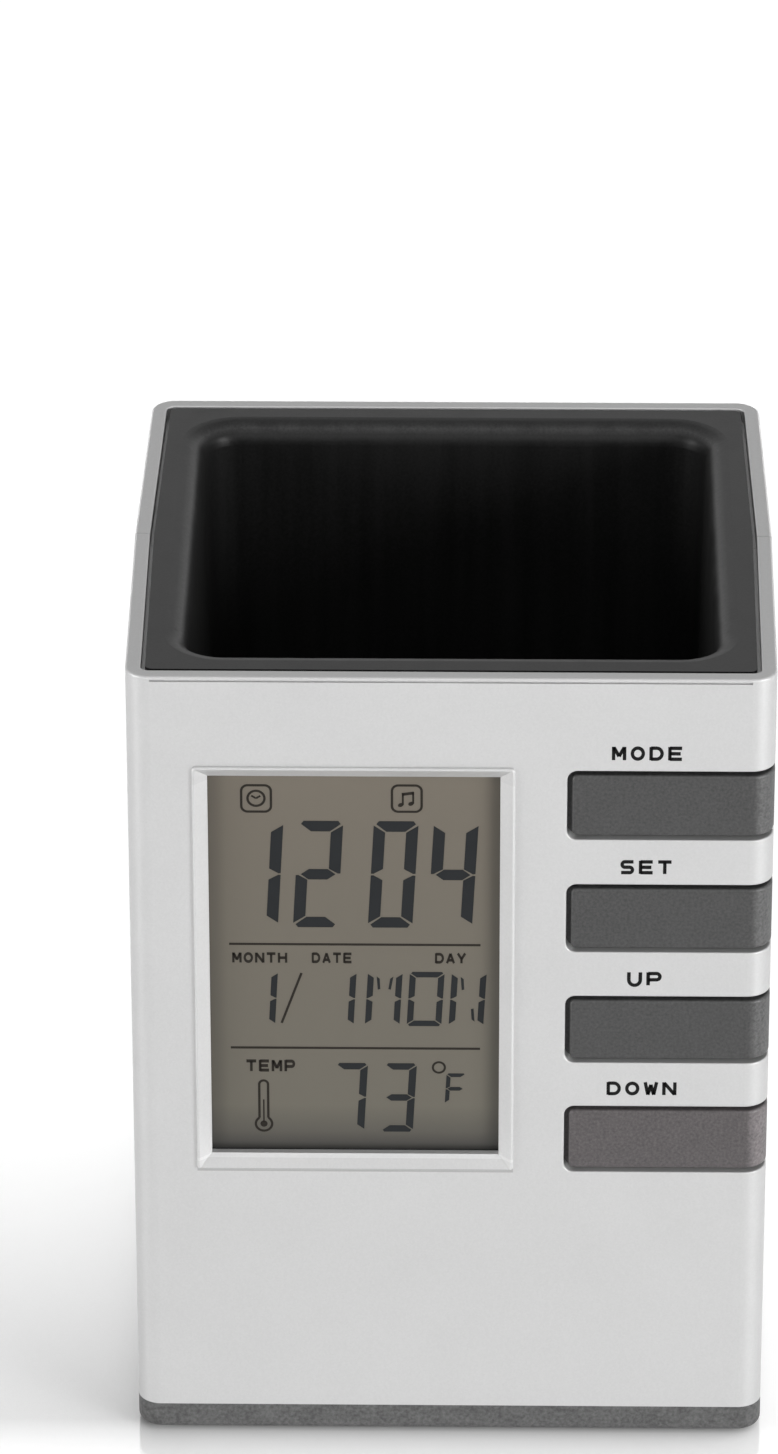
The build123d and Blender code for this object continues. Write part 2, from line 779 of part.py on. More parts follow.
def cell(direction, z):
    # AAA cell along X; direction is +1 where its nub points right
    can_length = cell_length - cell_nub_length
    can = chamfer(Cylinder(cell_radius, can_length).edges(), cell_edge)
    nub = Pos(0, 0, can_length / 2) * Cylinder(cell_nub_radius, 2 * cell_nub_length)
    turned = Rot(0, direction * 90, 0) * (can + nub)
    return Pos(direction * (cell_shift - cell_nub_length / 2), cell_y, z) * turned


def contact_plate(side, z_low, z_high):
    # flat against the bay's end wall
    return block((side * bay_half_width, side * (bay_half_width - contact_thickness)),
                 (cell_y - contact_width / 2, cell_y + contact_width / 2), (z_low, z_high))


def contact_dimple(side, z):
    start = (side * bay_half_width, cell_y, z)
    return rod(start, (-side, 0, 0), contact_button_radius, contact_thickness + contact_button)


def contact_leaf(side, z):
    # bowed strip that presses on a cell's flat end
    reach = leaf_space - contact_touch_gap
    half = contact_height / 2 - contact_thickness
    wall_x = side * (bay_half_width - contact_thickness / 2)
    tip_x = side * (bay_half_width - reach)
    inner_x = side * (bay_half_width - reach + contact_thickness)
    outer = ThreePointArc((wall_x, z - half), (tip_x, z), (wall_x, z + half))
    inner_half = half - contact_thickness
    inner = ThreePointArc((wall_x, z + inner_half), (inner_x, z), (wall_x, z - inner_half))
    profile = make_face([outer, Line(outer @ 1, inner @ 0), inner, Line(inner @ 1, outer @ 0)])
    plane = Plane(origin=(0, cell_y + leaf_width / 2, 0), x_dir=(1, 0, 0), z_dir=(0, -1, 0))
    return extrude(plane * profile, amount=leaf_width, dir=(0, -1, 0))


def contact_tab(side, z):
    start_y = cell_y - contact_width / 2
    end_y = bay_front_y - bay_wall - tab_length
    return block((side * bay_half_width, side * (bay_half_width - contact_thickness)), (end_y, start_y + tie),
                 (z - tab_height / 2, z + tab_height / 2))


def positive_contact():
    half = contact_height / 2
    plate = contact_plate(1, upper_cell_z - half, upper_cell_z + half)
    return plate + contact_dimple(1, upper_cell_z) + contact_tab(1, upper_cell_z)


def negative_contact():
    half = contact_height / 2
    plate = contact_plate(1, lower_cell_z - half, lower_cell_z + half)
    return plate + contact_leaf(1, lower_cell_z) + contact_tab(1, lower_cell_z)


def bridge_contact():
    # joins the two cells at the left end
    half = contact_height / 2
    strip = contact_plate(-1, lower_cell_z - half, upper_cell_z + half)
    return strip + contact_dimple(-1, lower_cell_z) + contact_leaf(-1, upper_cell_z)


def battery_door():
    door = block((-door_half_width, door_half_width), (door_back_y, rear_y), (hinge_z, door_top_z))
    door += rod((-door_half_width, hinge_y, hinge_z), (1, 0, 0), barrel_radius, 2 * door_half_width)
    pin_reach = door_half_width + hinge_pin_length
    door += rod((-pin_reach, hinge_y, hinge_z), (1, 0, 0), hinge_pin_radius, 2 * pin_reach)
    for side in (-1, 1):
        middle = side * (tongue_width + tongue_slit) / 2
        door -= block((middle - tongue_slit / 2, middle + tongue_slit / 2),
                      (door_back_y - overrun, rear_y + overrun),
                      (door_top_z - tongue_length, door_top_z + overrun))
    grip_width = tongue_width - 2 * tongue_slit
    for index in range(grip_count):
        z = door_top_z - tongue_length / 2 + (index - (grip_count - 1) / 2) * grip_pitch
        ridge = block((-grip_width / 2, grip_width / 2), (rear_y - tie, rear_y + grip_proud),
                      (z - grip_height / 2, z + grip_height / 2))
        door += fillet(ridge.faces().sort_by(Axis.Y)[-1].edges(), grip_round)
    return door


# Buzzer and leads

def buzzer_disc():
    bottom = base_inner_floor + buzzer_step_height
    disc = rod((0, buzzer_y, bottom), (0, 0, 1), buzzer_radius, buzzer_plate_thickness)
    ceramic = buzzer_plate_thickness + buzzer_ceramic_thickness
    return disc + rod((0, buzzer_y, bottom), (0, 0, 1), buzzer_ceramic_radius, ceramic)


def way_points(start, end, waypoint_shares):
    # points between two places, each a share of the way from start to end
    way = Vector(*end) - Vector(*start)
    return [Vector(*start) + Vector(share_x * way.X, share_y * way.Y, share_z * way.Z)
            for share_x, share_y, share_z in waypoint_shares]


def lead(points):
    # wire of straight runs joined by large arcs
    radii = []
    for before, here, after in zip(points, points[1:], points[2:]):
        run_in = here - before
        run_out = after - here
        turn = radians(run_in.get_angle(run_out))
        radii.append(lead_arc_share * min(run_in.length, run_out.length) / tan(turn / 2))
    path = FilletPolyline(*points, radius=radii)
    return sweep(Plane(origin=path @ 0, z_dir=path % 0) * Circle(lead_radius), path=path)


def battery_leads():
    # from the inner face of each tab, sideways past the screw boss, to the right end of the board's tail
    x = bay_half_width - contact_thickness
    y = bay_front_y - bay_wall - tab_length / 2
    turn_x = x - 2 * boss_radius - lead_space
    lower_shares = [(0, 0.28, 0.1), (0.7, 0.58, 0.75), (1, 0.84, 1)]
    upper_shares = [(0, 0.26, 0), (0.6, 0.55, 0.6), (1, 0.82, 1)]
    leads = []
    for side, z, shares in ((-1, lower_cell_z, lower_shares), (1, upper_cell_z, upper_shares)):
        turn = (turn_x, y, z)
        end = (post_x - lead_post_space, board_back_y, tail_middle_z + side * lead_space / 2)
        leads.append(lead([Vector(x, y, z), Vector(*turn)] + way_points(turn, end, shares) + [Vector(*end)]))
    return leads


def buzzer_leads():
    z = base_inner_floor + buzzer_step_height + buzzer_plate_thickness + buzzer_ceramic_thickness
    shares = [(0, 0, 0.35), (0.5, 0.35, 0.9), (1, 0.6, 1)]
    leads = []
    for side in (-1, 1):
        x = side * lead_space / 2
        start = (x, buzzer_y, z)
        end = (-part_gap - crystal_length - lead_space + x, board_back_y, tail_middle_z)
        leads.append(lead([Vector(*start)] + way_points(start, end, shares) + [Vector(*end)]))
    return leads


# Every piece by name, then one file for each

pieces = {
    "front_shell": front_shell(),
    "rear_shell": rear_shell(),
    "base_plate": base_plate(),
    "pen_cup": pen_cup(),
    "lcd_front_glass": lcd_front_glass(),
    "lcd_rear_glass": lcd_rear_glass(),
    "lcd_reflector": lcd_reflector(),
    "lcd_frame": lcd_frame(),
    "zebra_connectors": zebra_connectors(),
    "circuit_board": circuit_board(),
    "clock_chip": clock_chip(),
    "quartz_crystal": quartz_crystal(),
    "thermistor": thermistor(),
    "buzzer_disc": buzzer_disc(),
    "buzzer_leads": buzzer_leads(),
    "rubber_keypad": rubber_keypad(),
    "board_screws": board_screws(),
    "base_screws": base_screws(),
    "battery_upper": cell(1, upper_cell_z),
    "battery_lower": cell(-1, lower_cell_z),
    "positive_contact": positive_contact(),
    "negative_contact": negative_contact(),
    "bridge_contact": bridge_contact(),
    "battery_leads": battery_leads(),
    "battery_door": battery_door(),
}
for name, middle_z in zip(key_names, key_middles):
    pieces[name + "_button"] = button(middle_z)
for name, (x, y) in foot_places.items():
    pieces[name] = foot(x, y)

os.makedirs("parts", exist_ok=True)
for name, shape in pieces.items():
    solids = Compound(children=shape) if isinstance(shape, list) else shape
    export_step(solids, "parts/" + name + ".step")
    print(name, len(solids.solids()), round(solids.volume, 1))
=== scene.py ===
import math

import bmesh
import bpy
from mathutils import Matrix, Vector


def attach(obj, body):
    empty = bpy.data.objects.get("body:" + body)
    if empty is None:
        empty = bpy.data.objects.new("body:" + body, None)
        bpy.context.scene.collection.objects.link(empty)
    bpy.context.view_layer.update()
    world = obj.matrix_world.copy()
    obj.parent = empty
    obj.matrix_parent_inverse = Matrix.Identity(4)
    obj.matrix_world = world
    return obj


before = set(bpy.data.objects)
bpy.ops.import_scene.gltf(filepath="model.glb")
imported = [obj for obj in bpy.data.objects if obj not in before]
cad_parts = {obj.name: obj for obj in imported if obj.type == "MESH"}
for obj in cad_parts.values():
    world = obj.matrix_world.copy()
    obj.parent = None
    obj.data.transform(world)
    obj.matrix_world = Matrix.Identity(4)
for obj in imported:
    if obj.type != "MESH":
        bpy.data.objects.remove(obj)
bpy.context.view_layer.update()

mm = 0.001  # settings are in millimetres, Blender's lengths in metres
caseFront = -38.5  # the front wall's face
glassFront = -36.6  # the display's face, at the bottom of the bevelled window
print("frame loaded:", len(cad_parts), "nodes")


# Small helpers for the materials

def linear(hexColour):
    # sRGB hex to the linear numbers that shader sockets take
    channels = [int(hexColour[i:i + 2], 16) / 255 for i in (1, 3, 5)]
    return tuple(c / 12.92 if c <= 0.04045 else ((c + 0.055) / 1.055) ** 2.4 for c in channels) + (1.0,)


def perSize(size):
    # pattern scale for a feature of this size in millimetres, on Object coordinates
    return 1 / (size * mm)


def addNode(tree, kind, settings=None, links=None):
    # settings go to a socket by name or number, to a ramp's stops, or else to the node itself
    node = tree.nodes.new(kind)
    for key, value in (settings or {}).items():
        if key == "stops":
            first, *middle, last = value
            node.color_ramp.elements[0].position, node.color_ramp.elements[0].color = first
            node.color_ramp.elements[1].position, node.color_ramp.elements[1].color = last
            for place, colour in middle:
                node.color_ramp.elements.new(place).color = colour
        elif isinstance(key, int) or key in node.inputs:
            node.inputs[key].default_value = value
        else:
            setattr(node, key, value)
    for key, source in (links or {}).items():
        tree.links.new(source, node.inputs[key])
    return node


def newMaterial(name, finish):
    # a Principled shader with its constant settings, and the object's own coordinates for its patterns
    material = bpy.data.materials.new(name)
    material.use_nodes = True
    tree = material.node_tree
    tree.nodes.clear()
    shader = addNode(tree, "ShaderNodeBsdfPrincipled", finish)
    addNode(tree, "ShaderNodeOutputMaterial", {}, {"Surface": shader.outputs["BSDF"]})
    place = addNode(tree, "ShaderNodeTexCoord").outputs["Object"]
    return material, tree, shader, place


def dress(material, *nodeNames):
    # the CAD pieces keep their shape and get this material
    for name in nodeNames:
        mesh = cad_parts[name].data
        mesh.materials.clear()
        mesh.materials.append(material)


# Silver shells

silverPaint = {
    "colour": "#D2D2D2",
    "metallic": 0.35,
    "roughness": 0.47,
    "flakeSize": 0.22,  # real flakes are 0.03 mm; drawn coarser so that they show at all
    "flakeSpread": 0.05,
    "mottleSize": 9.0,
    "mottleSpread": 0.03,
    "smoothest": -0.04,  # change of roughness over the mottle, from here
    "dullest": 0.05,  # to here
    "peelSize": 1.4,  # orange peel of the sprayed coat
    "peelHeight": 0.006,
    "peelStrength": 0.5,
    # painted highlight: the window's frame, but for its top, a little brighter
    "frameMiddle": (-11.4, -37.8, 63.4),
    "frameHalf": (19.0, 1.4, 26.2),
    "framePaintedHighlight": 0.07,
    # along the frame's foot, a painted highlight on its edge and a painted shadow line below it: height, half
    # width and change of tone
    "footPaintedLines": [(38.72, 0.2, 0.12), (37.25, 0.3, -0.3)],
}


def makeSilverPaint(look):
    # moulded ABS sprayed satin silver: an even pale grey, fine flakes and a soft light on the edges; a
    # painted highlight on the window's frame and a painted shadow line under its foot
    material, tree, shader, place = newMaterial("sprayedSatinSilverOnAbs", {
        "Metallic": look["metallic"], "IOR": 1.46})
    flakes = addNode(tree, "ShaderNodeTexVoronoi", {
        "Scale": perSize(look["flakeSize"])}, {"Vector": place})
    flakeTone = addNode(tree, "ShaderNodeMapRange", {
        "To Min": 1 - look["flakeSpread"], "To Max": 1.0}, {"Value": flakes.outputs["Color"]})
    mottle = addNode(tree, "ShaderNodeTexNoise", {
        "Scale": perSize(look["mottleSize"]), "Detail": 3.0}, {"Vector": place})
    mottleTone = addNode(tree, "ShaderNodeMapRange", {
        "To Min": 1 - look["mottleSpread"], "To Max": 1 + look["mottleSpread"]},
        {"Value": mottle.outputs["Fac"]})
    tone = addNode(tree, "ShaderNodeMath", {"operation": "MULTIPLY"},
                   {0: flakeTone.outputs["Result"], 1: mottleTone.outputs["Result"]})
    axes = addNode(tree, "ShaderNodeSeparateXYZ", {}, {"Vector": place})
    within = [addNode(tree, "ShaderNodeMath", {
        "operation": "COMPARE", 1: middle * mm, 2: half * mm}, {0: axes.outputs[axis]}).outputs["Value"]
        for axis, middle, half in zip("XYZ", look["frameMiddle"], look["frameHalf"])]
    inColumn = addNode(tree, "ShaderNodeMath", {"operation": "MULTIPLY"}, {0: within[0], 1: within[1]})
    onFrame = addNode(tree, "ShaderNodeMath", {"operation": "MULTIPLY"},
                      {0: inColumn.outputs["Value"], 1: within[2]})
    # painted highlight on the window's frame
    paintedLight = addNode(tree, "ShaderNodeMath", {
        "operation": "MULTIPLY_ADD", 1: look["framePaintedHighlight"], 2: 1.0}, {0: onFrame.outputs["Value"]})
    # painted highlight along the frame's foot edge, and a painted shadow line below it
    for height, half, change in look["footPaintedLines"]:
        onHeight = addNode(tree, "ShaderNodeMath", {
            "operation": "COMPARE", 1: height * mm, 2: half * mm}, {0: axes.outputs["Z"]})
        onPaintedLine = addNode(tree, "ShaderNodeMath", {"operation": "MULTIPLY"},
                         {0: onHeight.outputs["Value"], 1: inColumn.outputs["Value"]})
        paintedLight = addNode(tree, "ShaderNodeMath", {"operation": "MULTIPLY_ADD", 1: change},
                       {0: onPaintedLine.outputs["Value"], 2: paintedLight.outputs["Value"]})
    toneWithPaintedLight = addNode(tree, "ShaderNodeMath", {"operation": "MULTIPLY"},
                     {0: tone.outputs["Value"], 1: paintedLight.outputs["Value"]})
    colour = addNode(tree, "ShaderNodeVectorMath", {
        "operation": "SCALE", 0: linear(look["colour"])[:3]}, {"Scale": toneWithPaintedLight.outputs["Value"]})
    roughness = addNode(tree, "ShaderNodeMapRange", {
        "To Min": look["roughness"] + look["smoothest"], "To Max": look["roughness"] + look["dullest"]},
        {"Value": mottle.outputs["Fac"]})
    peel = addNode(tree, "ShaderNodeTexNoise", {
        "Scale": perSize(look["peelSize"]), "Detail": 2.0}, {"Vector": place})
    bump = addNode(tree, "ShaderNodeBump", {
        "Strength": look["peelStrength"], "Distance": look["peelHeight"] * mm},
        {"Height": peel.outputs["Fac"]})
    tree.links.new(colour.outputs["Vector"], shader.inputs["Base Color"])
    tree.links.new(roughness.outputs["Result"], shader.inputs["Roughness"])
    tree.links.new(bump.outputs["Normal"], shader.inputs["Normal"])
    return material


dress(makeSilverPaint(silverPaint), "front_shell", "rear_shell", "battery_door")
print("silver shells painted")


# Grey mouldings: base, pen cup and keys

grainPattern = {
    # shared by the three mouldings
    "cloudSize": 2.6,
    "speckEnd": 0.28,  # shares of the pattern's height where the speck ends and the full colour starts
    "colourStart": 0.72,
    "roughnessSpread": 0.08,
    "bumpStrength": 0.6,
}
baseGrain = {
    "name": "sparkErodedGreyAbs",  # matt moulded grain: even, a little speckled, hardly any shine
    "colour": "#6C6C6C",
    "speck": "#484848",
    "roughness": 0.62,
    "shine": 0.5,
    "grainSize": 0.5,
    "grainHeight": 0.025,
    "clouds": 0.5,  # strength of the broad pattern beside the fine grain
    "streak": 1.0,
}
cupGrain = {
    "name": "mouldedDarkGreyAbs",  # smooth matt moulding: dark, with a painted highlight on its rounded lip
    "colour": "#242424",
    "speck": "#1A1A1A",
    "roughness": 0.4,
    "shine": 0.2,
    "grainSize": 0.35,
    "grainHeight": 0.008,
    "clouds": 1.0,
    "streak": 0.06,  # pulls the pattern out along Z, as use and the mould's draft rub it
    # painted highlight along the lip's curve, a little smoother there too: the height of its brightest line,
    # and how far away it fades out
    "lipHighlight": (102.78, 0.58),
    "highlightPaler": 4.8,
    "highlightSmoother": -0.04,
}
keyGrain = {
    "name": "mattGreyKeyAbs",  # finer and smoother than the base, with a thin shine on its edges and a painted highlight round its corner
    "colour": "#404040",
    "speck": "#222222",
    "roughness": 0.54,
    "shine": 0.7,
    "grainSize": 0.36,
    "grainHeight": 0.008,
    "clouds": 0.25,
    "streak": 1.0,
    # a painted highlight round the corner, a little smoother there too: X minus Y, which grows towards it,
    # where the highlight starts and is full
    "cornerHighlight": (74.1, 75.0),
    "highlightPaler": 2.6,
    "highlightSmoother": -0.14,
}
downKeyGrain = {
    **keyGrain,
    "name": "mattGreyKeyAbsPaler",  # from another batch: a shade paler and warmer than the other three
    "colour": "#5B5657",
    "speck": "#3D393A",
}


def paintedHighlightPlace(tree, place, look):
    # 1 where the painted highlight is brightest, fading to 0
    axes = addNode(tree, "ShaderNodeSeparateXYZ", {}, {"Vector": place})
    if "cornerHighlight" in look:
        start, end = look["cornerHighlight"]
        measure = addNode(tree, "ShaderNodeMath", {"operation": "SUBTRACT"},
                          {0: axes.outputs["X"], 1: axes.outputs["Y"]})
    else:
        height, start = look["lipHighlight"]
        end = 0
        away = addNode(tree, "ShaderNodeMath", {"operation": "SUBTRACT", 1: height * mm},
                       {0: axes.outputs["Z"]})
        measure = addNode(tree, "ShaderNodeMath", {"operation": "ABSOLUTE"}, {0: away.outputs["Value"]})
    return addNode(tree, "ShaderNodeMapRange", {"From Min": start * mm, "From Max": end * mm},
                   {"Value": measure.outputs["Value"]}).outputs["Result"]


def makeGreyMoulding(look, pattern):
    # moulded ABS: grain and clouds mixed into one tone, and the places of a painted highlight paler and
    # smoother
    material, tree, shader, place = newMaterial(look["name"], {
        "IOR": 1.5, "Specular IOR Level": look["shine"]})
    stretch = addNode(tree, "ShaderNodeMapping", {
        "Scale": (1, 1, look["streak"])}, {"Vector": place})
    grain = addNode(tree, "ShaderNodeTexNoise", {
        "Scale": perSize(look["grainSize"]), "Detail": 2.0, "Roughness": 0.6}, {"Vector": place})
    cloud = addNode(tree, "ShaderNodeTexNoise", {
        "Scale": perSize(pattern["cloudSize"]), "Detail": 4.0}, {"Vector": stretch.outputs["Vector"]})
    cloudTone = addNode(tree, "ShaderNodeMapRange", {
        "To Min": -look["clouds"] / 2, "To Max": look["clouds"] / 2}, {"Value": cloud.outputs["Fac"]})
    mixed = addNode(tree, "ShaderNodeMath", {"operation": "ADD"},
                    {0: grain.outputs["Fac"], 1: cloudTone.outputs["Result"]})
    colour = addNode(tree, "ShaderNodeValToRGB", {
        "stops": [(pattern["speckEnd"], linear(look["speck"])),
                  (pattern["colourStart"], linear(look["colour"]))]}, {"Fac": mixed.outputs["Value"]})
    roughness = addNode(tree, "ShaderNodeMapRange", {
        "To Min": look["roughness"] - pattern["roughnessSpread"],
        "To Max": look["roughness"] + pattern["roughnessSpread"]}, {"Value": cloud.outputs["Fac"]})
    bump = addNode(tree, "ShaderNodeBump", {
        "Strength": pattern["bumpStrength"], "Distance": look["grainHeight"] * mm},
        {"Height": grain.outputs["Fac"]})
    shade = colour.outputs["Color"]
    dullness = roughness.outputs["Result"]
    if "highlightPaler" in look:
        # painted highlight: the colour made paler there, and the roughness a little lower
        highlightMask = paintedHighlightPlace(tree, place, look)
        paintedHighlightTone = addNode(tree, "ShaderNodeMath", {
            "operation": "MULTIPLY_ADD", 1: look["highlightPaler"] - 1, 2: 1.0}, {0: highlightMask})
        shade = addNode(tree, "ShaderNodeVectorMath", {"operation": "SCALE"}, {
            0: shade, "Scale": paintedHighlightTone.outputs["Value"]}).outputs["Vector"]
        dullness = addNode(tree, "ShaderNodeMath", {
            "operation": "MULTIPLY_ADD", 1: look["highlightSmoother"]}, {0: highlightMask, 2: dullness}).outputs["Value"]
    tree.links.new(shade, shader.inputs["Base Color"])
    tree.links.new(dullness, shader.inputs["Roughness"])
    tree.links.new(bump.outputs["Normal"], shader.inputs["Normal"])
    return material


dress(makeGreyMoulding(baseGrain, grainPattern), "base_plate")
dress(makeGreyMoulding(cupGrain, grainPattern), "pen_cup")
dress(makeGreyMoulding(keyGrain, grainPattern), "mode_button", "set_button", "up_button")
dress(makeGreyMoulding(downKeyGrain, grainPattern), "down_button")
print("grey mouldings dressed")


# Display glass

filmLook = {
    "roughness": 0.38,
    "shine": 0.35,
    # colours by share of the window's height, from its foot, darkened by painted shade, to its top
    "stops": [(0.0, "#161615"), (0.02, "#45433F"), (0.05, "#5A5750"), (0.12, "#6E6A60"), (1.0, "#756E63")],
    "bottom": 38.95,
    "top": 90.15,
    "middle": -11.4,
    "halfWidth": 17.25,
    "edgeWidth": 2.4,  # painted shade along the window's sides
    "paintedSideShade": 0.62,
    "hazeSize": 0.3,  # the matt film's own grain
    "hazeHeight": 0.003,
    "hazeStrength": 0.3,
}


def makePolariserFilm(look):
    # matt polariser over a reflective display: warm grey; painted shade makes it greyer and darker towards
    # the foot of the window and darker along its sides
    material, tree, shader, place = newMaterial("mattPolariserFilm", {
        "Roughness": look["roughness"], "IOR": 1.49, "Specular IOR Level": look["shine"]})
    axes = addNode(tree, "ShaderNodeSeparateXYZ", {}, {"Vector": place})
    # painted shade: darker towards the window's foot, and along its sides
    height = addNode(tree, "ShaderNodeMapRange", {
        "From Min": look["bottom"] * mm, "From Max": look["top"] * mm}, {"Value": axes.outputs["Z"]})
    tintWithPaintedShade = addNode(tree, "ShaderNodeValToRGB", {
        "stops": [(share, linear(colour)) for share, colour in look["stops"]]},
        {"Fac": height.outputs["Result"]})
    across = addNode(tree, "ShaderNodeMath", {"operation": "SUBTRACT", 1: look["middle"] * mm},
                     {0: axes.outputs["X"]})
    side = addNode(tree, "ShaderNodeMath", {"operation": "ABSOLUTE"}, {0: across.outputs["Value"]})
    sideShade = addNode(tree, "ShaderNodeMapRange", {
        "interpolation_type": "SMOOTHSTEP",
        "From Min": (look["halfWidth"] - look["edgeWidth"]) * mm, "From Max": look["halfWidth"] * mm,
        "To Min": 1.0, "To Max": look["paintedSideShade"]}, {"Value": side.outputs["Value"]})
    colour = addNode(tree, "ShaderNodeVectorMath", {"operation": "SCALE"},
                     {0: tintWithPaintedShade.outputs["Color"], "Scale": sideShade.outputs["Result"]})
    haze = addNode(tree, "ShaderNodeTexNoise", {
        "Scale": perSize(look["hazeSize"]), "Detail": 1.0}, {"Vector": place})
    bump = addNode(tree, "ShaderNodeBump", {
        "Strength": look["hazeStrength"], "Distance": look["hazeHeight"] * mm},
        {"Height": haze.outputs["Fac"]})
    tree.links.new(colour.outputs["Vector"], shader.inputs["Base Color"])
    tree.links.new(bump.outputs["Normal"], shader.inputs["Normal"])
    return material


dress(makePolariserFilm(filmLook), "lcd_front_glass")
print("display glass dressed")


# Flat marks: drawn in X and Y with their thickness along Z, then stood up on a front face

inkMottle = 0.12  # how far an ink's tone varies either way


def makeInk(name, colour, size):
    # dye or ink: an even dark tone, nearly matt, with the faintest mottling of this size in millimetres
    material, tree, shader, place = newMaterial(name, {
        "Roughness": 0.6, "IOR": 1.5, "Specular IOR Level": 0.15})
    noise = addNode(tree, "ShaderNodeTexNoise", {"Scale": perSize(size), "Detail": 2.0}, {"Vector": place})
    tone = addNode(tree, "ShaderNodeMapRange", {
        "To Min": 1 - inkMottle, "To Max": 1 + inkMottle}, {"Value": noise.outputs["Fac"]})
    mixed = addNode(tree, "ShaderNodeVectorMath", {"operation": "SCALE", 0: linear(colour)[:3]},
                    {"Scale": tone.outputs["Result"]})
    tree.links.new(mixed.outputs["Vector"], shader.inputs["Base Color"])
    return material


sameVertex = 0.0005  # vertices closer than this are merged


def standUp(name, shape, faceY, sink, material):
    # makes the object, upright on the plane y = faceY, a little of it below the surface
    bmesh.ops.remove_doubles(shape, verts=shape.verts, dist=sameVertex)
    bmesh.ops.recalc_face_normals(shape, faces=shape.faces)
    upright = Matrix.Translation((0, (faceY + sink) * mm, 0)) @ Matrix.Rotation(math.radians(90), 4, "X")
    bmesh.ops.transform(shape, matrix=upright @ Matrix.Scale(mm, 4), verts=shape.verts)
    mesh = bpy.data.meshes.new(name)
    shape.to_mesh(mesh)
    shape.free()
    piece = bpy.data.objects.new(name, mesh)
    bpy.context.scene.collection.objects.link(piece)
    mesh.materials.append(material)
    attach(piece, "case")
    return piece


def onlyVerts(made):
    return [part for part in made if isinstance(part, bmesh.types.BMVert)]


turnStep = 12  # degrees of a turn that one facet covers
fewestSteps = 3


def drawStroke(shape, start, heading, moves, line, depth):
    # a stroke's moves: a number is a straight run, a pair is a turn's radius and degrees, left positive
    angle = math.radians(heading)
    section = bmesh.ops.create_grid(shape, x_segments=1, y_segments=1, size=0.5)["verts"]
    across = Matrix(((-math.sin(angle) * line, 0, math.cos(angle), 0),
                     (math.cos(angle) * line, 0, math.sin(angle), 0),
                     (0, depth, 0, 0), (0, 0, 0, 1)))
    begun = Vector((start[0], start[1], depth / 2))
    place = begun.copy()
    bmesh.ops.transform(shape, matrix=Matrix.Translation(place) @ across, verts=section)
    firstFace = section[0].link_faces[0]
    face = firstFace
    for move in moves:
        if isinstance(move, tuple):
            radius, degrees = move
            turn = math.radians(degrees)
            towards = Vector((-math.sin(angle), math.cos(angle), 0)) * math.copysign(radius, degrees)
            centre = place + towards
            steps = max(fewestSteps, round(abs(degrees) / turnStep))
            made = bmesh.ops.spin(shape, geom=[face, *face.edges, *face.verts], cent=centre, axis=(0, 0, 1),
                                  angle=turn, steps=steps)["geom_last"]
            place = centre + Matrix.Rotation(turn, 3, "Z") @ (place - centre)
            angle += turn
        else:
            made = bmesh.ops.extrude_face_region(shape, geom=[face])["geom"]
            ahead = Vector((math.cos(angle), math.sin(angle), 0)) * move
            bmesh.ops.translate(shape, verts=onlyVerts(made), vec=ahead)
            place = place + ahead
        face = next(f for f in made if isinstance(f, bmesh.types.BMFace))
    if (place - begun).length < 2 * sameVertex:
        # back where it began, so the ring needs no end faces
        bmesh.ops.delete(shape, geom=[firstFace, face], context="FACES_KEEP_BOUNDARY")


def addPlate(shape, corners, depth):
    # a flat plate with these corners
    face = shape.faces.new([shape.verts.new((x, y, 0)) for x, y in corners])
    made = bmesh.ops.extrude_face_region(shape, geom=[face])["geom"]
    bmesh.ops.translate(shape, verts=onlyVerts(made), vec=(0, 0, depth))


# Letters in a box one wide and one high: a straight line is its two ends, and any other stroke is its
# start, heading and moves
letterStrokes = {
    "A": [(0.08, 0, 0.5, 0.96), (0.92, 0, 0.5, 0.96), (0.25, 0.3, 0.75, 0.3)],
    "D": [(0.09, 0, 0.09, 1), ((0.09, 0.09), 0, [0.41, (0.41, 180), 0.41])],
    "E": [(0.09, 0, 0.09, 1), (0.09, 0.09, 1, 0.09), (0.09, 0.5, 0.9, 0.5), (0.09, 0.91, 1, 0.91)],
    "H": [(0.09, 0, 0.09, 1), (0.91, 0, 0.91, 1), (0.09, 0.5, 0.91, 0.5)],
    "M": [(0.09, 0, 0.09, 1), (0.91, 0, 0.91, 1), (0.12, 0.95, 0.5, 0.28), (0.88, 0.95, 0.5, 0.28)],
    "N": [(0.09, 0, 0.09, 1), (0.91, 0, 0.91, 1), (0.11, 0.95, 0.89, 0.05)],
    "O": [((0.5, 0.09), 0, [(0.41, 360)])],
    "P": [(0.09, 0, 0.09, 1), ((0.09, 0.43), 0, [0.6, (0.24, 180), 0.6])],
    "S": [((0.04, 0.09), 0, [0.64, (0.205, 180), 0.36, (0.205, -180), 0.64])],
    "T": [(0, 0.91, 1, 0.91), (0.5, 0, 0.5, 0.91)],
    "U": [((0.09, 1), -90, [0.59, (0.41, 180), 0.59])],
    "W": [(0.07, 1, 0.28, 0.02), (0.28, 0.02, 0.5, 0.8), (0.5, 0.8, 0.72, 0.02), (0.72, 0.02, 0.93, 1)],
    "Y": [(0.06, 1, 0.5, 0.42), (0.94, 1, 0.5, 0.42), (0.5, 0, 0.5, 0.45)],
}


def straight(start, end):
    # the start, heading and one move of a straight stroke
    across, up = end[0] - start[0], end[1] - start[1]
    return start, math.degrees(math.atan2(up, across)), [math.hypot(across, up)]


def addWords(shape, words, depth):
    # every letter of a word fills a box of its own, all of one width, with equal spaces between them
    for text, (left, bottom, right, top) in words["boxes"].items():
        height = top - bottom
        space = words["space"] * height
        width = (right - left + space) / len(text) - space
        for index, letter in enumerate(text):
            before = set(shape.verts)
            for stroke in letterStrokes[letter]:
                if len(stroke) == 4:
                    stroke = straight(stroke[:2], stroke[2:])
                drawStroke(shape, *stroke, words["stroke"], depth)
            place = Matrix.Translation((left + index * (width + space), bottom, 0))
            bmesh.ops.transform(shape, verts=[v for v in shape.verts if v not in before],
                                matrix=place @ Matrix.Diagonal((width, height, 1, 1)))


# Display digits and letters, made of lit segments

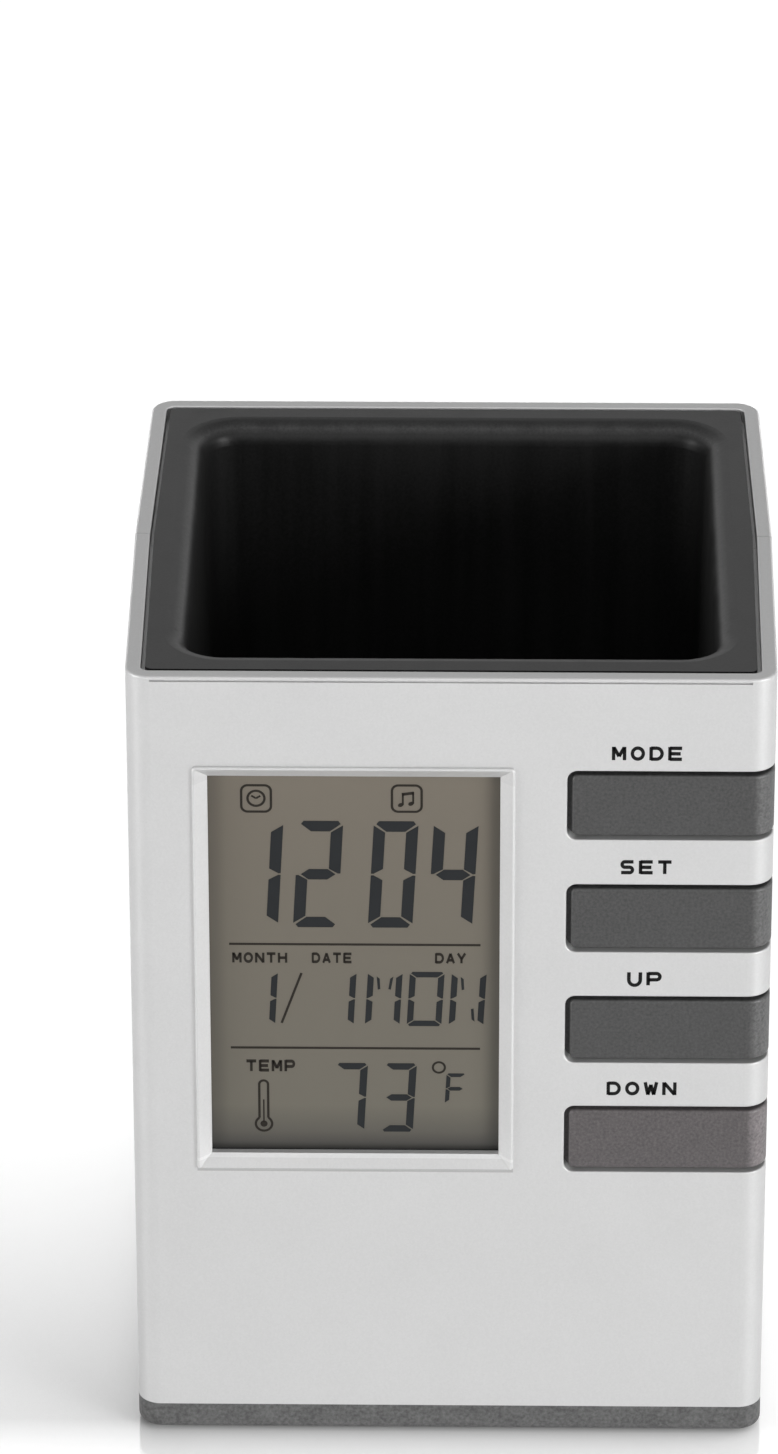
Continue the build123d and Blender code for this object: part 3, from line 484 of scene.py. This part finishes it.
digits = {
    "depth": 0.04,
    "sink": 0.01,
    "slant": 3.1,
    "gap": 0.13,  # half the space between neighbouring segments, in the row with the thickest bars
    "fullBar": 1.4,  # those bars' thickness
    "tip": 0.42,  # share of a bar's thickness that its outer corners are cut back by
    "tipDrop": 0.7,  # share of that cut by which a level bar's ends drop
    "footGaps": (0.8, 0.4),  # shares of the gap that an upright bar's foot keeps to the middle bar
    # inner diagonals of M and N: corners in bar thicknesses, in and down from the cell's upper left
    "diagonal": [(1.45, 0.9), (1.95, 1.3), (2.15, 3.2), (1.75, 3.3)],
    "lit": {"0": "abcdef", "1": "bc", "2": "abged", "3": "abgcd", "4": "fgbc", "7": "abc", "F": "aefg",
            "M": "bcefhk", "N": "bcefhm", "O": "abcdef"},
    "rows": [
        # characters with their left sides, the cell's width, bottom, top and bar thickness
        {"cells": [("1", -25.39), ("2", -18.32), ("0", -9.43), ("4", -2.34)],
         "width": 5.28, "bottom": 69.43, "top": 83.72, "bar": 1.4},
        {"cells": [("1", -24.88), ("1", -15.5), ("M", -10.01), ("O", -5.01), ("N", 0.0)],
         "width": 4.14, "bottom": 56.04, "top": 63.44, "bar": 0.74},
        {"cells": [("7", -13.89), ("3", -8.03)], "width": 3.8, "bottom": 41.45, "top": 50.91, "bar": 0.88},
        {"cells": [("F", -0.53)], "width": 2.25, "bottom": 45.31, "top": 49.55, "bar": 0.5},
    ],
}


def segmentCorners(name, width, height, bar, gap, look):
    # one segment's corners from its digit's lower left; some are mirror images of others
    half = height / 2
    cut = look["tip"] * bar
    if name in "ad":
        drop = height - cut * look["tipDrop"]
        corners = [(cut, height), (width - cut, height), (width - cut / 2, drop),
                   (width - bar - gap, height - bar), (bar + gap, height - bar), (cut / 2, drop)]
    elif name in "bcef":
        footTip, footEnd = [gap * share for share in look["footGaps"]]
        corners = [(width, height - cut), (width, half + gap), (width - cut / 2, half + footTip),
                   (width - bar, half + bar / 2 + footEnd), (width - bar, height - bar - gap)]
    elif name == "g":
        corners = [(cut, half), (bar + gap, half + bar / 2), (width - bar - gap, half + bar / 2),
                   (width - cut, half), (width - bar - gap, half - bar / 2), (bar + gap, half - bar / 2)]
    else:
        corners = [(bar * x, height - bar * y) for x, y in look["diagonal"]]
    if name in "efkm":
        corners = [(width - x, y) for x, y in corners]
    if name in "cedm":
        corners = [(x, height - y) for x, y in corners]
    return corners


def makeDigits(look, material):
    shape = bmesh.new()
    lean = math.tan(math.radians(look["slant"]))
    for row in look["rows"]:
        height = row["top"] - row["bottom"]
        gap = look["gap"] * (1 + row["bar"] / look["fullBar"]) / 2
        for character, left in row["cells"]:
            for name in look["lit"][character]:
                corners = segmentCorners(name, row["width"], height, row["bar"], gap, look)
                leaning = [(left + x + lean * (y - height / 2), row["bottom"] + y) for x, y in corners]
                addPlate(shape, leaning, look["depth"])
    standUp("displayDigits", shape, glassFront, look["sink"], material)


# Display lines, words and signs

signs = {
    "depth": 0.035,
    "sink": 0.01,
    "line": 0.29,
    "thinner": 0.8,  # hands and stems, as a share of the line
    "rules": [((-26.32, 67.11), 29.9), ((-26.27, 52.96), 29.85)],  # left end and length
    "slash": ((-20.15, 56.37), (-17.74, 63.20)),
}
signFrames = {
    "size": 3.5,
    "round": 0.75,
    "lowerLefts": [(-24.68, 84.91), (-6.92, 84.99)],
}
clockSign = {
    "centre": (-22.94, 86.68),
    "radius": 1.0,
    "hands": [(33, 0.62), (147, 0.66)],  # heading and length
}
noteSign = {
    "stemFeet": [(-5.64, 85.89), (-4.42, 86.06)],
    "stemLength": 1.55,
    "beam": 1.3,  # its width, as a share of the line
    "beamEnd": 0.4,  # how far it passes the stems, as a share of the line
    "headRadius": 0.34,
    "headHeight": 0.75,  # share of its width
    "headAside": 0.75,  # its middle beside the stem, as a share of its radius
    "headTilt": 25,
}
thermometerSign = {
    "tubeHalf": 0.53,
    "bulbCentre": (-22.39, 42.45),
    "bulbRadius": 0.98,
    "top": 47.90,
    "drop": 0.22,  # radius of the filled drop's ring, drawn with a line thick enough to close it
    "dropLine": 0.42,
    "columnStart": 0.2,
    "columnEnd": 2.3,  # below the tube's top
    "column": 0.6,  # its width, as a share of the line
}
degreeSign = {
    "centre": (-1.35, 50.36),
    "radius": 0.72,
    "ring": 0.9,  # its width, as a share of the line
}
displayWords = {
    "stroke": 0.27,  # a stroke's width, as a share of a letter's own box
    "space": 0.24,  # between letters, as a share of their height
    "boxes": {
        "MONTH": (-25.93, 64.59, -19.46, 65.93),
        "DATE": (-16.46, 64.61, -11.77, 65.95),
        "DAY": (-1.79, 64.64, 1.82, 65.98),
        "TEMP": (-24.42, 49.72, -18.65, 51.25),
    },
}


def makeSigns(look, words, material):
    shape = bmesh.new()
    line, depth = look["line"], look["depth"]

    def stroke(start, heading, moves, width=1.0):
        drawStroke(shape, start, heading, moves, width * line, depth)

    def ring(centre, radius, width=1.0):
        stroke((centre[0], centre[1] - radius), 0, [(radius, 360)], width)

    for start, length in look["rules"]:
        stroke(start, 0, [length])
    stroke(*straight(*look["slash"]))

    corner = signFrames["round"]
    flat = signFrames["size"] - 2 * corner
    for x, y in signFrames["lowerLefts"]:
        stroke((x + corner, y), 0, [flat, (corner, 90)] * 4)

    ring(clockSign["centre"], clockSign["radius"])
    for heading, length in clockSign["hands"]:
        stroke(clockSign["centre"], heading, [length], look["thinner"])

    # two notes under one beam
    radius = noteSign["headRadius"]
    tilt = Matrix.Rotation(math.radians(noteSign["headTilt"]), 4, "Z")
    oval = Matrix.Diagonal((1, noteSign["headHeight"], 1, 1))
    for x, y in noteSign["stemFeet"]:
        stroke((x, y), 90, [noteSign["stemLength"]], look["thinner"])
        head = bmesh.ops.create_cone(shape, cap_ends=True, segments=20, radius1=radius, radius2=radius,
                                     depth=depth)["verts"]
        beside = Matrix.Translation((x - radius * noteSign["headAside"], y, depth / 2))
        bmesh.ops.transform(shape, matrix=beside @ tilt @ oval, verts=head)
    (x, y), (farX, farY) = noteSign["stemFeet"]
    past = line * noteSign["beamEnd"]
    slope = math.degrees(math.atan2(farY - y, farX - x))
    stroke((x - past, y + noteSign["stemLength"] - line / 2), slope, [farX - x + 2 * past], noteSign["beam"])

    # thermometer: round the bulb, up the tube, over its top and down again, then the drop and the column
    x, y = thermometerSign["bulbCentre"]
    half, bulb = thermometerSign["tubeHalf"], thermometerSign["bulbRadius"]
    neck = math.degrees(math.asin(half / bulb))
    neckHeight = bulb * math.cos(math.radians(neck))
    rise = thermometerSign["top"] - y - neckHeight
    stroke((x - half, y + neckHeight), 180 + neck, [(bulb, 360 - 2 * neck)])
    stroke((x + half, y + neckHeight), 90, [rise, (half, 180), rise])
    ring((x, y), thermometerSign["drop"], thermometerSign["dropLine"] / line)
    columnLength = thermometerSign["top"] - y - thermometerSign["columnEnd"]
    stroke((x, y + thermometerSign["columnStart"]), 90, [columnLength], thermometerSign["column"])

    ring(degreeSign["centre"], degreeSign["radius"], degreeSign["ring"])

    addWords(shape, words, depth)
    standUp("displaySigns", shape, glassFront, look["sink"], material)


# liquid crystal under the film: dark blue-grey, and the printed signs a browner black
makeDigits(digits, makeInk("darkLiquidCrystal", "#27292B", 3.0))
makeSigns(signs, displayWords, makeInk("darkPrintUnderFilm", "#2B2723", 2.0))
print("display marks drawn")


# Words over the keys

keyWords = {
    "depth": 0.02,
    "sink": 0.008,
    "stroke": 0.262,
    "space": 0.36,
    "boxes": {
        "MODE": (18.93, 92.98, 27.08, 94.74),
        "SET": (20.07, 77.88, 26.07, 79.64),
        "UP": (21.08, 62.84, 25.03, 64.6),
        "DOWN": (18.81, 47.82, 27.06, 49.58),
    },
}


def makeKeyWords(words, material):
    shape = bmesh.new()
    addWords(shape, words, words["depth"])
    standUp("keyWords", shape, caseFront, words["sink"], material)


# pad-printed ink: dense black, slightly satin
makeKeyWords(keyWords, makeInk("padPrintedBlackInk", "#121212", 0.8))
print("key words printed")


# Feet, screws and the pieces inside

speckPattern = {
    # the noise gives the specks' colour below the first value and the base colour above the second
    "speckEnd": 0.35,
    "colourStart": 0.62,
    "bumpStrength": 0.5,
}


def makeSpeckled(name, colour, dark, finish, size, height):
    # base colour with darker specks of this size in millimetres, and a bump of this height
    material, tree, shader, place = newMaterial(name, finish)
    noise = addNode(tree, "ShaderNodeTexNoise", {"Scale": perSize(size), "Detail": 4.0}, {"Vector": place})
    mixed = addNode(tree, "ShaderNodeValToRGB", {
        "stops": [(speckPattern["speckEnd"], linear(dark)), (speckPattern["colourStart"], linear(colour))]},
        {"Fac": noise.outputs["Fac"]})
    bump = addNode(tree, "ShaderNodeBump", {
        "Strength": speckPattern["bumpStrength"], "Distance": height * mm}, {"Height": noise.outputs["Fac"]})
    tree.links.new(mixed.outputs["Color"], shader.inputs["Base Color"])
    tree.links.new(bump.outputs["Normal"], shader.inputs["Normal"])
    return material


# moulded rubber: black, dull and slightly pebbled
footRubber = makeSpeckled("mouldedBlackRubber", "#262626", "#1B1B1B",
                          {"Roughness": 0.8, "IOR": 1.52}, 0.5, 0.02)
# silicone: pale grey, waxy
keypadRubber = makeSpeckled("greySiliconeRubber", "#8A8A88", "#7C7C7A",
                            {"Roughness": 0.6, "IOR": 1.41}, 0.8, 0.01)
# nickel-plated steel: bright, with a slight rolled grain
nickel = makeSpeckled("nickelPlatedSteel", "#CFCBC2", "#B4B0A6",
                      {"Metallic": 1.0, "Roughness": 0.28}, 0.4, 0.004)
# rolled brass disc: warm yellow, dulled
brass = makeSpeckled("rolledBrass", "#D8B56A", "#BE9A52",
                     {"Metallic": 1.0, "Roughness": 0.35}, 0.7, 0.004)
# glass-fibre board under green mask: deep green with the weave just showing
board = makeSpeckled("greenMaskedBoard", "#1F6B3A", "#17552D",
                     {"Roughness": 0.35, "IOR": 1.5}, 0.6, 0.01)
# cast resin: glossy black drop
resin = makeSpeckled("castBlackResin", "#1E1E1E", "#161616",
                     {"Roughness": 0.22, "IOR": 1.55}, 1.5, 0.01)
# plain moulded white plastic inside
whiteMoulding = makeSpeckled("mouldedWhiteAbs", "#E4E4E0", "#D8D8D3",
                             {"Roughness": 0.5, "IOR": 1.5}, 0.6, 0.01)
# matt reflector film: grey-green, faintly sparkling
reflector = makeSpeckled("mattReflectorFilm", "#ABA99F", "#9A988E",
                         {"Metallic": 0.6, "Roughness": 0.5}, 0.3, 0.003)
# wire insulation: soft red plastic
wireCover = makeSpeckled("redWireInsulation", "#A8231D", "#8E1B16",
                         {"Roughness": 0.42, "IOR": 1.53}, 0.9, 0.005)

dress(footRubber, "front_left_foot", "front_right_foot", "rear_left_foot", "rear_right_foot")
dress(keypadRubber, "rubber_keypad", "zebra_connectors")
dress(nickel, "board_screws", "base_screws", "positive_contact", "negative_contact", "bridge_contact",
      "quartz_crystal")
dress(brass, "buzzer_disc")
dress(board, "circuit_board")
dress(resin, "clock_chip", "thermistor")
dress(whiteMoulding, "lcd_frame")
dress(reflector, "lcd_reflector", "lcd_rear_glass")
dress(wireCover, "battery_leads", "buzzer_leads")

cellSleeve = {
    "sleeve": "#2F6B4F",
    "band": "#D9DAD6",
    "steel": "#C9C8C2",
    "length": 44.5,
    "sleeveHalf": 20.6,
    "bandStart": 8.0,  # from the middle towards the nub
    "bandEnd": 12.5,
    "sleeveMiddle": -1.45,  # along X
    "smoothest": 0.25,
    "dullest": 0.42,
    "scuffSize": 2.0,
}


def makeCellSleeve(name, look, nubSide):
    # printed plastic sleeve on a steel can: satin green with one pale band, bare steel at both ends
    material, tree, shader, place = newMaterial(name, {"Roughness": 0.32, "IOR": 1.5})
    axes = addNode(tree, "ShaderNodeSeparateXYZ", {}, {"Vector": place})
    along = addNode(tree, "ShaderNodeMapRange", {
        "From Min": (look["sleeveMiddle"] - nubSide * look["length"] / 2) * mm,
        "From Max": (look["sleeveMiddle"] + nubSide * look["length"] / 2) * mm}, {"Value": axes.outputs["X"]})
    # places of the changes of colour, as shares of the cell's length
    places = (-look["sleeveHalf"], look["bandStart"], look["bandEnd"], look["sleeveHalf"])
    low, start, end, high = [0.5 + value / look["length"] for value in places]
    colour = addNode(tree, "ShaderNodeValToRGB", {
        "stops": [(0.0, linear(look["steel"])), (low, linear(look["sleeve"])), (start, linear(look["band"])),
                  (end, linear(look["sleeve"])), (high, linear(look["steel"]))]},
        {"Fac": along.outputs["Result"]})
    colour.color_ramp.interpolation = "CONSTANT"
    scuff = addNode(tree, "ShaderNodeTexNoise", {
        "Scale": perSize(look["scuffSize"]), "Detail": 5.0}, {"Vector": place})
    roughness = addNode(tree, "ShaderNodeMapRange", {
        "To Min": look["smoothest"], "To Max": look["dullest"]}, {"Value": scuff.outputs["Fac"]})
    tree.links.new(colour.outputs["Color"], shader.inputs["Base Color"])
    tree.links.new(roughness.outputs["Result"], shader.inputs["Roughness"])
    return material


dress(makeCellSleeve("printedCellSleeveUpper", cellSleeve, 1), "battery_upper")
dress(makeCellSleeve("printedCellSleeveLower", cellSleeve, -1), "battery_lower")
print("inner pieces dressed")


# Camera, at the photograph's viewing angle

cameraLook = {
    "place": (5.4, -841.9, 509.95),
    "yaw": 0.90,
    "pitch": -27.19,
    "roll": -0.11,
    "lens": 191.3,
    "sensor": 36,  # across the picture's height
    "near": 0.01,  # metres
    "far": 20,
}

camera = bpy.data.objects.new("camera", bpy.data.cameras.new("camera"))
bpy.context.scene.collection.objects.link(camera)
camera.matrix_world = (Matrix.Translation(Vector(cameraLook["place"]) * mm)
                       @ Matrix.Rotation(math.radians(cameraLook["yaw"]), 4, "Z")
                       @ Matrix.Rotation(math.radians(90 + cameraLook["pitch"]), 4, "X")
                       @ Matrix.Rotation(math.radians(cameraLook["roll"]), 4, "Z"))
camera.data.lens = cameraLook["lens"]
camera.data.sensor_width = cameraLook["sensor"]
camera.data.clip_start = cameraLook["near"]
camera.data.clip_end = cameraLook["far"]
bpy.context.scene.camera = camera


# Studio: pale floor, soft lamps, white surroundings

studio = {
    "floorHalf": 3.0,
    "floorColour": "#F2F2F2",
    "floorShine": 0.38,
    "floorRoughness": 0.1,
    "floorGlow": 0.95,
    "shadowReach": 0.2,
    "shadowSamples": 16,
    "shadowSide": (0.7, 0.5, 0.5),  # direction the painted shadow's occlusion is measured towards, so that the soft shadow lies to the left
    "shadowDepth": 1.56,
    "fadeHalf": 60,  # the painted shadow's strength by place in Y, from this far in front to this far behind
    "fade": [(0.12, 0.15), (0.16, 0.5), (0.2, 0.95), (0.9, 0.05)],
    "surround": 0.06,
    # lamps: size across, height where it isn't round, and power in watts; all aim at the same point
    "lamps": [
        {"name": "rightLamp", "place": (1.25, -0.98, 0.27), "size": 0.8, "power": 17.9},
        {"name": "leftLamp", "place": (-1.46, -0.62, 0.27), "size": 0.8, "power": 13.0},
        {"name": "topLamp", "place": (0.0, -1.47, 1.08), "size": 0.9, "power": 3.0},
        {"name": "backLamp", "place": (0.0, 1.4, 0.05), "size": 1.2, "height": 0.09, "power": 7.0},
    ],
    "aim": (0, 0, 0.05),
}


def cameraSeen(tree):
    # 1 where the camera, a reflection or a clear piece looks, 0 for the light that falls on the object
    rays = addNode(tree, "ShaderNodeLightPath")
    first = addNode(tree, "ShaderNodeMath", {"operation": "MAXIMUM"},
                    {0: rays.outputs["Is Camera Ray"], 1: rays.outputs["Is Glossy Ray"]})
    return addNode(tree, "ShaderNodeMath", {"operation": "MAXIMUM"},
                   {0: first.outputs["Value"], 1: rays.outputs["Is Transmission Ray"]}).outputs["Value"]


def makeSurround(look):
    world = bpy.data.worlds.new("surround")
    world.use_nodes = True
    tree = world.node_tree
    tree.nodes.clear()
    light = addNode(tree, "ShaderNodeBackground", {"Color": (1, 1, 1, 1), "Strength": look["surround"]})
    white = addNode(tree, "ShaderNodeBackground", {"Color": (1, 1, 1, 1), "Strength": 1.0})
    mixed = addNode(tree, "ShaderNodeMixShader", {}, {
        0: cameraSeen(tree), 1: light.outputs["Background"], 2: white.outputs["Background"]})
    addNode(tree, "ShaderNodeOutputWorld", {}, {"Surface": mixed.outputs["Shader"]})
    bpy.context.scene.world = world


def makeFloor(look):
    # polished white table: an even white glow with a painted shadow darkening it, and a faint reflection
    shape = bmesh.new()
    bmesh.ops.create_grid(shape, x_segments=1, y_segments=1, size=look["floorHalf"])
    mesh = bpy.data.meshes.new("floor")
    shape.to_mesh(mesh)
    shape.free()
    floor = bpy.data.objects.new("floor", mesh)
    bpy.context.scene.collection.objects.link(floor)
    material = bpy.data.materials.new("whiteTable")
    material.use_nodes = True
    tree = material.node_tree
    tree.nodes.clear()
    matt = addNode(tree, "ShaderNodeBsdfDiffuse", {"Color": linear(look["floorColour"])})
    glow = addNode(tree, "ShaderNodeEmission", {"Color": (1, 1, 1, 1)})
    x, y, z = look["shadowSide"]
    # painted shadow: the glow darkened where the object hides this side, more or less by place in Y
    shadowSideVector = addNode(tree, "ShaderNodeCombineXYZ", {"X": x, "Y": y, "Z": z})
    openness = addNode(tree, "ShaderNodeAmbientOcclusion", {
        "samples": look["shadowSamples"], "Distance": look["shadowReach"]},
        {"Normal": shadowSideVector.outputs["Vector"]})
    place = addNode(tree, "ShaderNodeTexCoord").outputs["Object"]
    axes = addNode(tree, "ShaderNodeSeparateXYZ", {}, {"Vector": place})
    along = addNode(tree, "ShaderNodeMapRange", {
        "From Min": -look["fadeHalf"] * mm, "From Max": look["fadeHalf"] * mm}, {"Value": axes.outputs["Y"]})
    fade = addNode(tree, "ShaderNodeValToRGB", {
        "stops": [(share, (value, value, value, 1.0)) for share, value in look["fade"]]},
        {"Fac": along.outputs["Result"]})
    hidden = addNode(tree, "ShaderNodeMath", {"operation": "SUBTRACT", 0: 1.0}, {1: openness.outputs["AO"]})
    shadow = addNode(tree, "ShaderNodeMath", {"operation": "MULTIPLY"},
                     {0: hidden.outputs["Value"], 1: fade.outputs["Color"]})
    level = addNode(tree, "ShaderNodeMath", {
        "operation": "MULTIPLY_ADD", "use_clamp": True, 1: -look["shadowDepth"] * look["floorGlow"],
        2: look["floorGlow"]}, {0: shadow.outputs["Value"]})
    seen = addNode(tree, "ShaderNodeMath", {"operation": "MULTIPLY"},
                   {0: level.outputs["Value"], 1: cameraSeen(tree)})
    tree.links.new(seen.outputs["Value"], glow.inputs["Strength"])
    lit = addNode(tree, "ShaderNodeAddShader", {}, {0: matt.outputs["BSDF"], 1: glow.outputs["Emission"]})
    shine = addNode(tree, "ShaderNodeBsdfGlossy", {"Roughness": look["floorRoughness"]})
    mixed = addNode(tree, "ShaderNodeMixShader", {0: look["floorShine"]}, {
        1: lit.outputs["Shader"], 2: shine.outputs["BSDF"]})
    addNode(tree, "ShaderNodeOutputMaterial", {}, {"Surface": mixed.outputs["Shader"]})
    mesh.materials.append(material)


def makeLamps(look):
    for lamp in look["lamps"]:
        light = bpy.data.lights.new(lamp["name"], "AREA")
        light.shape = "RECTANGLE" if "height" in lamp else "DISK"
        light.size = lamp["size"]
        light.size_y = lamp.get("height", lamp["size"])
        light.energy = lamp["power"]
        piece = bpy.data.objects.new(lamp["name"], light)
        bpy.context.scene.collection.objects.link(piece)
        piece.location = lamp["place"]
        away = Vector(lamp["place"]) - Vector(look["aim"])
        piece.rotation_euler = away.to_track_quat("Z", "Y").to_euler()


makeSurround(studio)
makeFloor(studio)
makeLamps(studio)
bpy.context.scene.view_settings.view_transform = "Standard"
print("studio lit")
